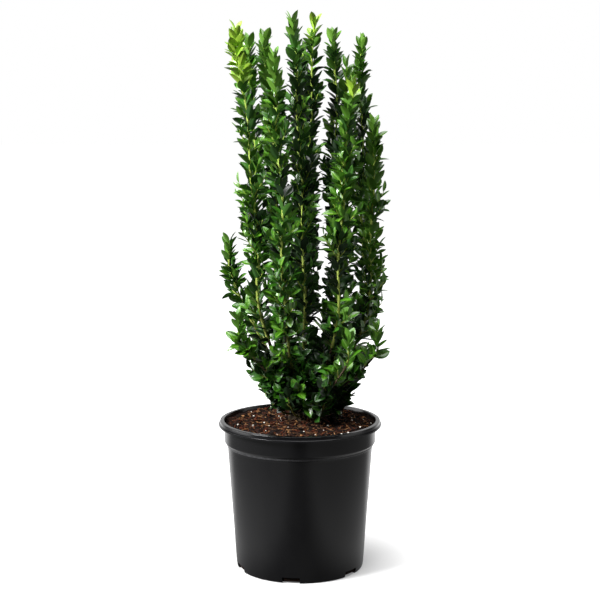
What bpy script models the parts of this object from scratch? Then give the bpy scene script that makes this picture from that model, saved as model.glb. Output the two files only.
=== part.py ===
"""A narrow, upright evergreen shrub with small paired leaves, in a round nursery pot.

Metres, +Z up. The origin is the middle of the pot's underside, the front is -Y and +X is to the right.
A squat woody stem base stands on the soil. Boughs fan out from its top and turn upright, and each one
carries a leafy shoot on its tip. Short shoots on the side of the stem base clothe the foot.
"""

import itertools
import math
import random

import bmesh
import bpy
from mathutils import Matrix, Vector

SEED = 41
GAP = 0.0003

# The pot: a thin wall with a taper, a collar below the rim, and a rim that turns out and down
RIM_Z = 0.2062
RIM_INNER_R = 0.1052
RIM_ROLL_R = 0.1103
RIM_ROUND = 0.0012
FLANGE_R = 0.1125
FLANGE_Z = 0.2012
FLANGE_UNDER_Z = 0.1998
FLANGE_WALL = 0.0020
FLANGE_HOLLOW_Z = 0.2036
COLLAR_R = 0.1045
COLLAR_TOP_Z = 0.1960
COLLAR_FOOT_Z = 0.1775
STEP_R = 0.1005
STEP_Z = 0.1725
FOOT_R = 0.0882
FOOT_ROUND = 0.0020
WALL = 0.0020
FLOOR = 0.0024
TURN_STEPS = 36
DRAIN_HOLES = 6
DRAIN_FIRST_BEARING = math.radians(-68.0)
DRAIN_WIDTH = 0.024
DRAIN_HEIGHT = 0.008
DRAIN_DEPTH = 0.016

# The soil that fills the pot, a little lower at the wall than at the foot of the shrub
SOIL_Z = 0.2045
SOIL_EDGE_Z = 0.2025
SOIL_EDGE_R = 0.1036
SOIL_FLAT_R = 0.0480

# The stem base, from its flat cut on the soil to the level top that the boughs stand on
FOOT = Vector((0.010, 0.004, 0.0))
BASE_Z = SOIL_Z + GAP
BASE_TOP_Z = 0.2275
BASE_FLARE_R = 0.0310
BASE_FLARE_ENDS = 0.45
BASE_WAIST_R = 0.0225
BASE_HEAD_R = 0.0245
BASE_HEAD_ROUND = 0.0014
BASE_LOBES = 5
BASE_LOBE_DEPTH = 0.0028
BASE_SIDES = 20
BASE_CUTS = 5

# Boughs, and the stems and twigs that go on from them. The low shoots are thinner
BOUGH_ROOT_SHARE = 0.21
BOUGH_RISE = 0.004
BOUGH_RADII = (0.0027, 0.0020)
LOW_BOUGH_RADII = (0.0020, 0.0016)
BOUGH_SPANS = 5
SHOULDER_Z = 0.420
SHOULDER_BELOW_TIP = 0.020
FAN_POWER = 2.2
LOW_FAN_POWER = 1.5
LEAN_POWER = 1.5
LOW_LEAN_POWER = 3.0
STEM_R = 0.0021
LOW_STEM_R = 0.0017
FOOT_STEM_R = 0.0013
STEM_TIP_R = 0.0012
STEM_STEP = 0.040
SWAY = 0.0018
SWAY_LENGTH = 0.160
SWAY_GROWS_OVER = 0.1

# Tall shoots: name, where the stem has turned upright (x, y), and the tip of its top leaf (x, y, z)
TALL_SHOOTS = (
    ("left_front", (-0.057, -0.030), (-0.084, -0.026, 0.745)),
    ("left_back", (-0.058, 0.028), (-0.070, 0.022, 0.730)),
    ("front_left", (-0.022, -0.066), (-0.035, -0.060, 0.711)),
    ("inner_left", (-0.028, -0.003), (-0.047, 0.004, 0.736)),
    ("back_left", (-0.034, 0.060), (-0.046, 0.064, 0.706)),
    ("front", (0.005, -0.034), (-0.009, -0.040, 0.756)),
    ("centre", (0.008, 0.009), (0.020, 0.005, 0.762)),
    ("back", (0.002, 0.052), (0.005, 0.048, 0.724)),
    ("front_right", (0.052, -0.058), (0.068, -0.050, 0.674)),
    ("right_centre", (0.055, -0.012), (0.064, -0.014, 0.700)),
    ("back_right", (0.052, 0.038), (0.047, 0.038, 0.740)),
    ("right", (0.096, -0.014), (0.100, -0.006, 0.624)),
    ("right_back", (0.086, 0.028), (0.082, 0.014, 0.728)),
    ("far_back", (0.006, 0.086), (0.012, 0.092, 0.690)),
    ("far_back_right", (0.058, 0.076), (0.066, 0.082, 0.662)),
)
TALL_BOUGH_END_Z = 0.258

# Low shoots on the outside of the crown, in the same words
LOW_SHOOTS = (
    ("low_left", (-0.080, -0.002), (-0.098, -0.004, 0.466)),
    ("low_left_front", (-0.064, -0.058), (-0.080, -0.062, 0.368)),
    ("low_front", (0.060, -0.086), (0.064, -0.092, 0.346)),
    ("low_right", (0.098, -0.044), (0.104, -0.046, 0.352)),
    ("low_back_right", (0.090, 0.060), (0.096, 0.064, 0.378)),
    ("low_back", (0.032, 0.098), (0.034, 0.104, 0.358)),
    ("low_back_left", (-0.062, 0.070), (-0.070, 0.078, 0.388)),
)
LOW_BOUGH_END_Z = 0.244

# Foot shoots, which spread just above the soil from the side of the stem base
FOOT_SHOOTS = 7
FOOT_FIRST_BEARING = math.radians(-78.0)
FOOT_LEAF_Z = 0.2135
FOOT_TIP_Z = 0.2640
FOOT_REACH = 0.0580
FOOT_ROOT_GAP = 0.0011

# Leaves, in pairs, each pair square to the last. They are fewer and larger than life
LEAF_LENGTH = 0.039
LEAF_WIDTH = 0.0255
LEAF_THICKNESS = 0.0022
LEAF_FOLD = 0.0028
LEAF_WIDEST = 0.40
LEAF_ROOT = 0.0004
LEAF_ROLL = 0.25
PAIR_STEP = 0.0360
LOW_PAIR_STEP = 0.0240
FOOT_PAIR_STEP = 0.0100
FIRST_PAIR = 0.009
LAST_PAIR_BELOW_TIP = 0.003
PAIR_SHIFT = 0.12
PAIR_TURN = 0.2
PAIR_SPREAD = math.radians(13.0)
TOP_RISE = math.radians(54.0)
FOOT_RISE = math.radians(16.0)
FOOT_RISE_ENDS_Z = 0.360
TIP_SCALE = 0.62
TIP_GROWS_OVER = 0.060
TIP_RISE = math.radians(66.0)
TIP_PAIR_HEIGHT = 0.020

# Side twigs, each with a pair of leaves at its end
TWIG_AT_PAIRS = (4, 12)
TWIG_LENGTH = 0.030
TWIG_RADII = (0.0013, 0.0008)
TWIG_RISE = math.radians(64.0)
TWIG_TURNS = (0.6, 2.2, 3.9, 5.2)
TWIG_LEAF_SCALE = 0.75
TWIG_LEAF_RISE = math.radians(56.0)

# The space of each mass, and what a leaf tries before it is skipped
TIP_ROOM = 0.024
REACH = 0.033
CELL_MARGIN = 0.0007
LIMB_CLEARANCE = 0.0036
SOIL_CLEARANCE = 0.0010
SHORTER = (1.0, 0.84, 0.7)
TURNS = (0.0, 0.35, -0.35, 0.7, -0.7)


def linear(red, green, blue):
    """sRGB bytes as the linear colour that a material holds."""
    shares = (red / 255, green / 255, blue / 255)
    return (*(c / 12.92 if c <= 0.04045 else ((c + 0.055) / 1.055) ** 2.4 for c in shares), 1.0)


def plain_material(name, colour, roughness):
    material = bpy.data.materials.new(name)
    material.use_nodes = True
    shader = material.node_tree.nodes["Principled BSDF"]
    shader.inputs["Base Color"].default_value = colour
    shader.inputs["Roughness"].default_value = roughness
    shader.inputs["Metallic"].default_value = 0.0
    return material


def new_object(name, mesh, collection, material=None):
    obj = bpy.data.objects.new(name, mesh)
    collection.objects.link(obj)
    if material:
        mesh.materials.append(material)
    return obj


def make_helper(obj):
    """Marks a cutter or a guide, which isn't part of the model."""
    obj.hide_render = True
    obj.display_type = "WIRE"


def eased(share):
    """0 to 1 as share goes from 0 to 1, level at both ends."""
    return 0.5 - 0.5 * math.cos(math.pi * min(max(share, 0.0), 1.0))


def toward(bearing):
    """The direction at a bearing that is 0 at the front and grows to the right."""
    return Vector((math.sin(bearing), -math.cos(bearing), 0.0))


def turned(name, profile, collection, material):
    """A solid of revolution. The profile runs from the axis at the top to the axis at the bottom."""
    mesh = bpy.data.meshes.new(name)
    edges = list(itertools.pairwise(range(len(profile))))
    mesh.from_pydata([(r, 0.0, z) for r, z in profile], edges, [])
    obj = new_object(name, mesh, collection, material)
    screw = obj.modifiers.new("Turn", "SCREW")
    screw.steps = TURN_STEPS
    screw.render_steps = TURN_STEPS
    screw.use_merge_vertices = True
    screw.merge_threshold = 0.0001
    screw.use_smooth_shade = True
    return obj


def wall_outer(z):
    """The pot's outer radius: a straight taper, a rounded step outwards, and an upright collar."""
    if z <= STEP_Z:
        return FOOT_R + (STEP_R - FOOT_R) * z / STEP_Z
    return STEP_R + (COLLAR_R - STEP_R) * eased((z - STEP_Z) / (COLLAR_FOOT_Z - STEP_Z))


def pot_profile():
    wall_heights = [STEP_Z, (STEP_Z + COLLAR_FOOT_Z) / 2, COLLAR_FOOT_Z, COLLAR_TOP_Z]
    inside = [(0.0, FLOOR)] + [(wall_outer(z) - WALL, z) for z in (FLOOR, *wall_heights)]
    rim = [
        (RIM_INNER_R - RIM_ROUND / 2, RIM_Z - RIM_ROUND),
        (RIM_INNER_R, RIM_Z),
        (RIM_ROLL_R - RIM_ROUND, RIM_Z),
        (RIM_ROLL_R, RIM_Z - RIM_ROUND),
        (FLANGE_R, FLANGE_Z),
        (FLANGE_R, FLANGE_UNDER_Z),
        (FLANGE_R - FLANGE_WALL, FLANGE_UNDER_Z),
        (FLANGE_R - FLANGE_WALL, FLANGE_Z),
        (COLLAR_R + FLANGE_WALL, FLANGE_HOLLOW_Z),
        (COLLAR_R, FLANGE_HOLLOW_Z - FLANGE_WALL),
    ]
    outside = [(wall_outer(z), z) for z in reversed(wall_heights)]
    foot = [(wall_outer(FOOT_ROUND), FOOT_ROUND), (FOOT_R - FOOT_ROUND, 0.0), (0.0, 0.0)]
    return inside + rim + outside + foot


def make_pot(parts, cutters, material):
    pot = turned("pot", pot_profile(), parts, material)
    for hole in range(DRAIN_HOLES):
        bearing = DRAIN_FIRST_BEARING + math.tau * hole / DRAIN_HOLES
        mesh = bpy.data.meshes.new(f"drain_hole_{hole + 1}")
        shape = bmesh.new()
        bmesh.ops.create_cube(shape, size=1.0)
        bmesh.ops.scale(shape, vec=(DRAIN_WIDTH, DRAIN_DEPTH, 2 * DRAIN_HEIGHT), verts=shape.verts)
        shape.to_mesh(mesh)
        shape.free()
        cutter = new_object(mesh.name, mesh, cutters)
        cutter.location = toward(bearing) * FOOT_R
        cutter.rotation_euler.z = bearing
        make_helper(cutter)
        cut = pot.modifiers.new(mesh.name, "BOOLEAN")
        cut.operation = "DIFFERENCE"
        cut.object = cutter


def make_soil(parts, material):
    side_heights = [COLLAR_TOP_Z, COLLAR_FOOT_Z, STEP_Z, FLOOR + GAP]
    profile = [(0.0, SOIL_Z), (SOIL_FLAT_R, SOIL_Z), (SOIL_EDGE_R, SOIL_EDGE_Z)]
    profile += [(wall_outer(z) - WALL - GAP, z) for z in side_heights]
    profile += [(0.0, FLOOR + GAP)]
    turned("soil", profile, parts, material)


def base_radius(z, bearing):
    """The stem base: a lobed flare on the soil, a waist, and a wider head with a rounded edge."""
    share = (z - BASE_Z) / (BASE_TOP_Z - BASE_Z)
    flare = max(0.0, 1.0 - share / BASE_FLARE_ENDS) ** 2
    head = eased((share - BASE_FLARE_ENDS) / (1.0 - BASE_FLARE_ENDS))
    edge = max(0.0, 5.0 * share - 4.0) ** 2
    flared = (BASE_FLARE_R - BASE_WAIST_R) + BASE_LOBE_DEPTH * math.cos(BASE_LOBES * bearing)
    return BASE_WAIST_R + flared * flare + (BASE_HEAD_R - BASE_WAIST_R) * head - BASE_HEAD_ROUND * edge


def make_base(parts, material):
    mesh = bpy.data.meshes.new("stem_base")
    shape = bmesh.new()
    bmesh.ops.create_cone(shape, cap_ends=True, segments=BASE_SIDES, radius1=1.0, radius2=1.0, depth=1.0)
    upright = [edge for edge in shape.edges if abs(edge.verts[0].co.z - edge.verts[1].co.z) > 0.5]
    bmesh.ops.subdivide_edges(shape, edges=upright, cuts=BASE_CUTS)
    for vertex in shape.verts:
        x, y, share = vertex.co.x, vertex.co.y, vertex.co.z + 0.5
        z = BASE_Z + share * (BASE_TOP_Z - BASE_Z)
        radius = base_radius(z, math.atan2(x, -y))
        vertex.co = FOOT + Vector((x * radius, y * radius, z))
    shape.to_mesh(mesh)
    shape.free()
    mesh.shade_smooth()
    mesh.set_sharp_from_angle(angle=math.radians(40))
    new_object("stem_base", mesh, parts, material)


class Shoot:
    """A stem as a path that rises from low_z to tip_z, and is leafy from leaf_z up."""

    def __init__(self, name, low_z, leaf_z, tip_z, seed):
        self.name = name
        self.low_z = low_z
        self.leaf_z = leaf_z
        self.tip_z = tip_z
        self.random = random.Random(seed)

    def is_at(self, z):
        return self.low_z <= z <= self.tip_z + TIP_ROOM

    def distance(self, point):
        return (point - self.at(point.z)).xy.length


class FannedShoot(Shoot):
    """A shoot whose bough leaves the top of the stem base, fans out and turns upright."""

    def __init__(self, row, bough_end_z, power, seed):
        name, stand, (tip_x, tip_y, top_z) = row
        super().__init__(name, BASE_TOP_Z, bough_end_z + GAP, top_z - TIP_PAIR_HEIGHT, seed)
        self.stand = Vector((*stand, 0.0))
        self.tip = Vector((tip_x, tip_y, 0.0))
        self.power = power
        self.shoulder_z = min(SHOULDER_Z, self.tip_z - SHOULDER_BELOW_TIP)
        self.phases = [self.random.uniform(0.0, math.tau) for _ in range(2)]

    def at(self, z):
        """The bough's share of the way out eases to 1 at the shoulder, and the stem then leans to its tip."""
        first_z = BASE_TOP_Z + BOUGH_RISE
        rise = min(max((z - first_z) / (self.shoulder_z - first_z), 0.0), 1.0)
        out = 1.0 - (1.0 - BOUGH_ROOT_SHARE) * (1.0 - rise) ** self.power
        if self.shoulder_z < SHOULDER_Z:
            lean = rise**LOW_LEAN_POWER
        else:
            lean = min(max((z - SHOULDER_Z) / (self.tip_z - SHOULDER_Z), 0.0), 1.0) ** LEAN_POWER
        place = FOOT + (self.stand - FOOT) * out + (self.tip - self.stand) * lean
        return place + self.sway(z) + Vector((0.0, 0.0, z))

    def sway(self, z):
        size = SWAY * min(max((z - TALL_BOUGH_END_Z) / SWAY_GROWS_OVER, 0.0), 1.0)
        turn = math.tau * z / SWAY_LENGTH
        return Vector((size * math.sin(turn + self.phases[0]), size * math.sin(turn + self.phases[1]), 0.0))


class FootShoot(Shoot):
    """A shoot on the side of the stem base, which spreads and then rises. Its cut end slopes, so that the
    middle of it stands off a little further than its edge."""

    def __init__(self, number, seed):
        super().__init__(f"foot_{number + 1}", BASE_Z, FOOT_LEAF_Z, FOOT_TIP_Z - TIP_PAIR_HEIGHT, seed)
        self.bearing = FOOT_FIRST_BEARING + math.tau * number / FOOT_SHOOTS
        self.root_r = base_radius(FOOT_LEAF_Z, self.bearing) + FOOT_ROOT_GAP

    def at(self, z):
        rise = min(max((z - FOOT_LEAF_Z) / (self.tip_z - FOOT_LEAF_Z), 0.0), 1.0)
        reach = self.root_r + (FOOT_REACH - self.root_r) * math.sqrt(rise)
        return FOOT + toward(self.bearing) * reach + Vector((0.0, 0.0, z))


def swept(name, points, radii, collection, bevel):
    """A tapering limb along points. bevel is a number of steps round a quarter, or a section to sweep."""
    curve = bpy.data.curves.new(name, "CURVE")
    curve.dimensions = "3D"
    curve.use_fill_caps = True
    if isinstance(bevel, int):
        curve.bevel_depth = 1.0
        curve.bevel_resolution = bevel
    else:
        curve.bevel_mode = "OBJECT"
        curve.bevel_object = bevel
    spline = curve.splines.new("POLY")
    spline.points.add(len(points) - 1)
    for place, point, radius in zip(spline.points, points, radii):
        place.co = (*point, 1.0)
        place.radius = radius
    guide = bpy.data.objects.new(name + "_guide", curve)
    collection.objects.link(guide)
    bpy.context.view_layer.update()
    mesh = bpy.data.meshes.new_from_object(guide.evaluated_get(bpy.context.evaluated_depsgraph_get()))
    mesh.name = name
    shape = bmesh.new()
    shape.from_mesh(mesh)
    bmesh.ops.remove_doubles(shape, verts=shape.verts, dist=0.00001)
    bmesh.ops.recalc_face_normals(shape, faces=shape.faces)
    shape.to_mesh(mesh)
    shape.free()
    limb = new_object(name, mesh, collection)
    limb.matrix_world = guide.matrix_world.copy()
    bpy.data.objects.remove(guide)
    bpy.data.curves.remove(curve)
    return limb


def between(ends, share):
    return ends[0] + (ends[1] - ends[0]) * share


def make_bough(shoot, radii, parts, material):
    """The bare limb of a shoot. It leaves the stem base straight up and ends under the leafy stem."""
    root_z = BASE_TOP_Z + GAP
    shares = [i / BOUGH_SPANS for i in range(BOUGH_SPANS)] + [1.0]
    heights = [root_z] + [between((root_z + BOUGH_RISE, shoot.leaf_z - GAP), share) for share in shares]
    points = [shoot.at(z) for z in heights]
    bough = swept("bough_" + shoot.name, points, [between(radii, s) for s in (0.0, *shares)], parts, 1)
    bough.data.materials.clear()
    bough.data.materials.append(material)
    bough.data.shade_smooth()
    bough.data.set_sharp_from_angle(angle=math.radians(50))


def twig_section(collection):
    """The three-cornered section of a twig, of radius 1."""
    curve = bpy.data.curves.new("twig_section", "CURVE")
    curve.dimensions = "3D"
    spline = curve.splines.new("POLY")
    spline.points.add(2)
    for corner, point in enumerate(spline.points):
        point.co = (math.cos(math.tau * corner / 3), math.sin(math.tau * corner / 3), 0.0, 1.0)
    spline.use_cyclic_u = True
    guide = new_object("twig_section", curve, collection)
    make_helper(guide)
    return guide


def leaf_template():
    """Two poles and four points between them, which become a leaf's root, tip, edges and ridges."""
    mesh = bpy.data.meshes.new("leaf")
    shape = bmesh.new()
    bmesh.ops.create_uvsphere(shape, u_segments=4, v_segments=2, radius=1.0)
    shape.to_mesh(mesh)
    shape.free()
    return mesh


def direction(bearing, rise):
    """A unit vector at an angle round +Z, counted from +X, and an angle above the level."""
    flat = math.cos(rise)
    return Vector((math.cos(bearing) * flat, math.sin(bearing) * flat, math.sin(rise)))


def leaf_points(template, root, bearing, rise, roll, scale):
    along = direction(bearing, rise)
    across = Matrix.Rotation(roll, 3, along) @ direction(bearing + math.pi / 2, 0.0)
    up = along.cross(across)
    points = []
    for vertex in template.vertices:
        side, ridge, end = vertex.co
        length = LEAF_LENGTH * scale * (LEAF_WIDEST if abs(end) < 0.5 else max(end, 0.0))
        width = side * LEAF_WIDTH * scale / 2
        height = ridge * LEAF_THICKNESS / 2 + abs(side) * LEAF_FOLD * scale
        points.append(root + along * (length + LEAF_ROOT) + across * width + up * height)
    return points


def rise_at(z):
    """Leaves spread wide near the foot and ascend higher up."""
    return between((FOOT_RISE, TOP_RISE), min((z - SOIL_Z) / (FOOT_RISE_ENDS_Z - SOIL_Z), 1.0))


class Foliage:
    """Collects the twigs and leaves of one mass, and joins them to its stem."""

    def __init__(self, shoot, shoots, template, section, collection):
        self.shoot = shoot
        self.others = [other for other in shoots if other is not shoot]
        self.template = template
        self.section = section
        self.collection = collection

    def has_room(self, point):
        """True above the soil, clear of the wood, and nearer to this stem than to any other."""
        own = self.shoot.distance(point)
        if own > REACH or not self.shoot.is_at(point.z) or point.z < SOIL_Z + SOIL_CLEARANCE:
            return False
        if point.z < BASE_TOP_Z + GAP and (point - FOOT).xy.length < BASE_FLARE_R + BASE_LOBE_DEPTH:
            return False
        if point.z < self.shoot.leaf_z and own < LIMB_CLEARANCE:
            return False
        near = (other.distance(point) for other in self.others if other.is_at(point.z))
        return all(own + CELL_MARGIN < distance for distance in near)

    def add_leaf(self, root, bearing, rise, roll, scale):
        """A leaf that leaves the space is turned a little or made shorter, and else skipped."""
        for shorter, turn in itertools.product(SHORTER, TURNS):
            points = leaf_points(self.template, root, bearing + turn, rise, roll, scale * shorter)
            outer = [point for point in points if (point - root).length > 5 * LEAF_ROOT]
            if all(self.has_room(point) for point in outer):
                mesh = self.template.copy()
                mesh.vertices.foreach_set("co", [c for point in points for c in point])
                new_object("leaf", mesh, self.collection)
                return

    def add_pair(self, root, bearing, rise, scale):
        roll = self.shoot.random.uniform(-LEAF_ROLL, LEAF_ROLL)
        for side in (0.0, math.pi):
            spread = self.shoot.random.uniform(-PAIR_SPREAD, PAIR_SPREAD)
            self.add_leaf(root, bearing + side + spread, rise + spread / 2, roll, scale)

    def add_twig(self, z, bearing):
        root = self.shoot.at(z)
        end = root + direction(bearing, TWIG_RISE) * TWIG_LENGTH
        if self.has_room(end):
            swept("twig", [root, end], TWIG_RADII, self.collection, self.section)
            self.add_pair(root.lerp(end, 0.96), bearing, TWIG_LEAF_RISE, TWIG_LEAF_SCALE)

    def grow(self, pair_step, has_twigs):
        """The seeded rule: crossed pairs of leaves up the stem, short twigs, and a small pair at the tip."""
        shoot = self.shoot
        bearing = shoot.random.uniform(0.0, math.tau)
        pairs = max(2, round((shoot.tip_z - shoot.leaf_z) / pair_step))
        step = (shoot.tip_z - shoot.leaf_z - FIRST_PAIR - LAST_PAIR_BELOW_TIP) / pairs
        for pair in range(pairs):
            shift = shoot.random.uniform(-PAIR_SHIFT, PAIR_SHIFT)
            z = shoot.leaf_z + FIRST_PAIR + step * (pair + shift)
            bearing += math.pi / 2 + shoot.random.uniform(-PAIR_TURN, PAIR_TURN)
            scale = between((TIP_SCALE, 1.0), min((shoot.tip_z - z) / TIP_GROWS_OVER, 1.0))
            self.add_pair(shoot.at(z), bearing, rise_at(z), scale)
            if has_twigs and pair in TWIG_AT_PAIRS:
                self.add_twig(z, bearing + shoot.random.choice(TWIG_TURNS))
        top = shoot.at(shoot.tip_z - LAST_PAIR_BELOW_TIP / 2)
        self.add_pair(top, bearing + math.pi / 2, TIP_RISE, TIP_SCALE)

    def join(self, thick, parts, material):
        """The stem with all the pieces fused to it."""
        shoot = self.shoot
        spans = max(3, round((shoot.tip_z - shoot.leaf_z) / STEM_STEP))
        shares = [i / spans for i in range(spans + 1)]
        points = [shoot.at(between((shoot.leaf_z, shoot.tip_z), share)) for share in shares]
        radii = [between((thick, STEM_TIP_R), share) for share in shares]
        stem = swept("foliage_" + shoot.name, points, radii, parts, self.section)
        union = stem.modifiers.new("Leaves", "BOOLEAN")
        union.operation = "UNION"
        union.operand_type = "COLLECTION"
        union.collection = self.collection
        bpy.context.view_layer.update()
        joined = bpy.data.meshes.new_from_object(
            stem.evaluated_get(bpy.context.evaluated_depsgraph_get())
        )
        joined.name = stem.name
        stem.modifiers.clear()
        stem.data = joined
        joined.materials.clear()
        joined.materials.append(material)
        keep_largest_body(joined)
        for piece in list(self.collection.objects):
            bpy.data.objects.remove(piece)


def keep_largest_body(mesh):
    """Drops a loose scrap, and the skin of a hollow that the union sealed, which fills it."""
    shape = bmesh.new()
    shape.from_mesh(mesh)
    bmesh.ops.triangulate(shape, faces=shape.faces)
    left = set(shape.faces)
    bodies = []
    while left:
        body = [left.pop()]
        for face in body:
            near = {other for edge in face.edges for other in edge.link_faces} & left
            left -= near
            body.extend(near)
        corners = [[vertex.co for vertex in face.verts] for face in body]
        bodies.append((sum(a.dot(b.cross(c)) for a, b, c in corners), body))
    bodies.sort(key=lambda volume_and_faces: volume_and_faces[0])
    for _, body in bodies[:-1]:
        bmesh.ops.delete(shape, geom=body, context="FACES")
    shape.to_mesh(mesh)
    shape.free()


def main():
    for obj in list(bpy.data.objects):
        bpy.data.objects.remove(obj)
    names = ("potted_upright_evergreen", "cutters", "sprays")
    parts, cutters, sprays = (bpy.data.collections.new(name) for name in names)
    for collection in (parts, cutters, sprays):
        bpy.context.scene.collection.children.link(collection)
    black_plastic = plain_material("black_plastic", linear(34, 34, 35), 0.45)
    potting_soil = plain_material("potting_soil", linear(74, 46, 32), 0.95)
    bark = plain_material("bark", linear(112, 96, 62), 0.8)
    leaf_green = plain_material("leaf_green", linear(46, 88, 34), 0.4)

    make_pot(parts, cutters, black_plastic)
    make_soil(parts, potting_soil)
    make_base(parts, bark)
    tall = [
        FannedShoot(row, TALL_BOUGH_END_Z, FAN_POWER, SEED + number)
        for number, row in enumerate(TALL_SHOOTS)
    ]
    low = [
        FannedShoot(row, LOW_BOUGH_END_Z, LOW_FAN_POWER, SEED + 100 + number)
        for number, row in enumerate(LOW_SHOOTS)
    ]
    foot = [FootShoot(number, SEED + 200 + number) for number in range(FOOT_SHOOTS)]
    for group, radii in ((tall, BOUGH_RADII), (low, LOW_BOUGH_RADII)):
        for shoot in group:
            make_bough(shoot, radii, parts, bark)
    section = twig_section(cutters)
    template = leaf_template()
    kinds = (
        (tall, STEM_R, PAIR_STEP),
        (low, LOW_STEM_R, LOW_PAIR_STEP),
        (foot, FOOT_STEM_R, FOOT_PAIR_STEP),
    )
    for group, thick, pair_step in kinds:
        for shoot in group:
            foliage = Foliage(shoot, tall + low + foot, template, section, sprays)
            foliage.grow(pair_step, has_twigs=group is tall)
            foliage.join(thick, parts, leaf_green)
    bpy.data.objects.remove(section)
    bpy.data.collections.remove(sprays)


main()
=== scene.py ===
"""The looks of a narrow, upright evergreen shrub in a black nursery pot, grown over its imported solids.

Metres, +Z up, the front is -Y. Every piece is worked out with numpy: a profile turned about the pot's
axis, tubes carried along the stems, or one leaf, chip or grain shape repeated at many places at once.
"""

import math
import random

import bpy
import numpy as np
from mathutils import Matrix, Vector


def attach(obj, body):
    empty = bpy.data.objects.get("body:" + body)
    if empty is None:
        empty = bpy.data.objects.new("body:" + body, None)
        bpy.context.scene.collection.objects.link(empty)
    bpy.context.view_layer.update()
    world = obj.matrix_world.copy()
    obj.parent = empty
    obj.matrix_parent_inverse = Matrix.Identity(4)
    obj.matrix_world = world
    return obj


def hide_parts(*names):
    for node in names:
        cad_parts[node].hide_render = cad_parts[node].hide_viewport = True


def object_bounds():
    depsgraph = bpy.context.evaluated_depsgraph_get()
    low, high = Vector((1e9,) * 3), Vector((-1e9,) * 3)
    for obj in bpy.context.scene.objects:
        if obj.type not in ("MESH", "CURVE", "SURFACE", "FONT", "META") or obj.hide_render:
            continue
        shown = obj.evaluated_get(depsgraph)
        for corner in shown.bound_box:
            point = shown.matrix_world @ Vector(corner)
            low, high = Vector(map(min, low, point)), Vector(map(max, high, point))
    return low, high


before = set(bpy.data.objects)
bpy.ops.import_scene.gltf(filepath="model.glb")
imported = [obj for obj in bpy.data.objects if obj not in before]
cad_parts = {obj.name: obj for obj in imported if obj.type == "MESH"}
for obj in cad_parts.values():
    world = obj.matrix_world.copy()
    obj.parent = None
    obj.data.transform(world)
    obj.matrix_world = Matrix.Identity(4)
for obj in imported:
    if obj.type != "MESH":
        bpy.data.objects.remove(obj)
cad_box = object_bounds()

SEED = 41
LOW_SEED = SEED + 100
draw = np.random.default_rng(SEED)
scene = bpy.context.scene

# The pot, in the sizes of the solid
RIM_Z = 0.2062
RIM_INNER_R = 0.1052
RIM_ROLL_R = 0.1103
FLANGE_R = 0.1125
FLANGE_Z = 0.2012
FLANGE_UNDER_Z = 0.1998
FLANGE_WALL = 0.0020
FLANGE_HOLLOW_Z = 0.2036
COLLAR_R = 0.1045
COLLAR_TOP_Z = 0.1960
COLLAR_FOOT_Z = 0.1775
STEP_R = 0.1005
STEP_Z = 0.1725
FOOT_R = 0.0882
WALL = 0.0020
FLOOR = 0.0024
TURN_STEPS = 180
DRAIN_HOLES = 6
DRAIN_FIRST_BEARING = math.radians(-68.0)
DRAIN_WIDTH = 0.024
DRAIN_HEIGHT = 0.008
DRAIN_DEPTH = 0.016
TAPER_HEIGHTS = (0.006, 0.168)

# The lip is drawn within 1.5 mm of the solid's plain slope, as two fine ridges with a dark groove between
LIP_INNER_R = FLANGE_R - 0.0027
LIP_FOOT_Z = FLANGE_UNDER_Z - 0.0008
LIP_GROOVE_R = RIM_ROLL_R + 0.0006
LIP_GROOVE_Z = FLANGE_Z + 0.0008

# The bead on the edge of the step as (r, z, rounding), and the band on it that is painted pale as a highlight
# line
STEP_BEAD = ((0.1005, 0.1712, 0.0003), (0.1016, 0.1718, 0.0003), (0.1018, 0.1740, 0.0003))
HIGHLIGHT_LINE_R = (0.1013, 0.1021)
HIGHLIGHT_LINE_Z = (0.1716, 0.1742)

# The soil and what lies on it
SOIL_Z = 0.2045
SOIL_EDGE_Z = 0.2025
SOIL_FLAT_R = 0.0480
SOIL_R = 0.1036
SOIL_LUMP = 0.0170
SOIL_LUMP_HEIGHT = 0.0022
SOIL_GRIT = 0.0040
SOIL_HEAP = 0.0030
SOIL_HEAP_R = 0.022
SOIL_HEAP_WIDTH = 0.030
SOIL_SINK = 0.0010
BED_RINGS = 70
BED_STEPS = 220
CHIP_HALF_SIZES = ((0.0022, 0.0080), (0.0006, 0.0019), (0.0004, 0.0011))
CHIP_MARGIN = 0.0070
CHIP_LIFTS = (-0.0004, 0.0016)
CHIP_TILT = 0.5
CRUMB_UNEVEN = (0.72, 1.12)
PERLITE_GRAINS = 46
PERLITE_HALF_SIZES = (0.0006, 0.0017)
PERLITE_MARGIN = 0.0030
PERLITE_LIFT = 0.0014
PERLITE_TILT = 3.0
COIR_FIBRES = 230
COIR_HALF_LENGTHS = (0.003, 0.009)
COIR_R = 0.00028
COIR_MARGIN = 0.0120
COIR_LIFT = 0.0016
COIR_BOW = 0.35
COIR_SLOPE = 0.10

# The stem base and the shoots, by the rule of the solids
GAP = 0.0003
FOOT = np.array([0.010, 0.004])
BASE_Z = SOIL_Z + GAP
BASE_TOP_Z = 0.2275
BASE_FLARE_R = 0.0310
BASE_FLARE_ENDS = 0.45
BASE_WAIST_R = 0.0225
BASE_HEAD_R = 0.0245
BASE_HEAD_ROUND = 0.0014
BASE_LOBES = 5
BASE_LOBE_DEPTH = 0.0028
BASE_RINGS = 30
BASE_STEPS = 96
BASE_FURROW = 0.006
BASE_FURROW_DEPTH = 0.0011
BOUGH_RINGS = 24
BOUGH_FURROW = 0.004
BOUGH_FURROW_SHARE = 0.07
BOUGH_ROOT_SHARE = 0.21
BOUGH_RISE = 0.004
BOUGH_RADII = (0.0027, 0.0020)
LOW_BOUGH_RADII = (0.0020, 0.0016)
SHOULDER_Z = 0.420
SHOULDER_BELOW_TIP = 0.020
FAN_POWER = 2.2
LOW_FAN_POWER = 1.5
LEAN_POWER = 1.5
LOW_LEAN_POWER = 3.0
SWAY = 0.0018
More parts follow.
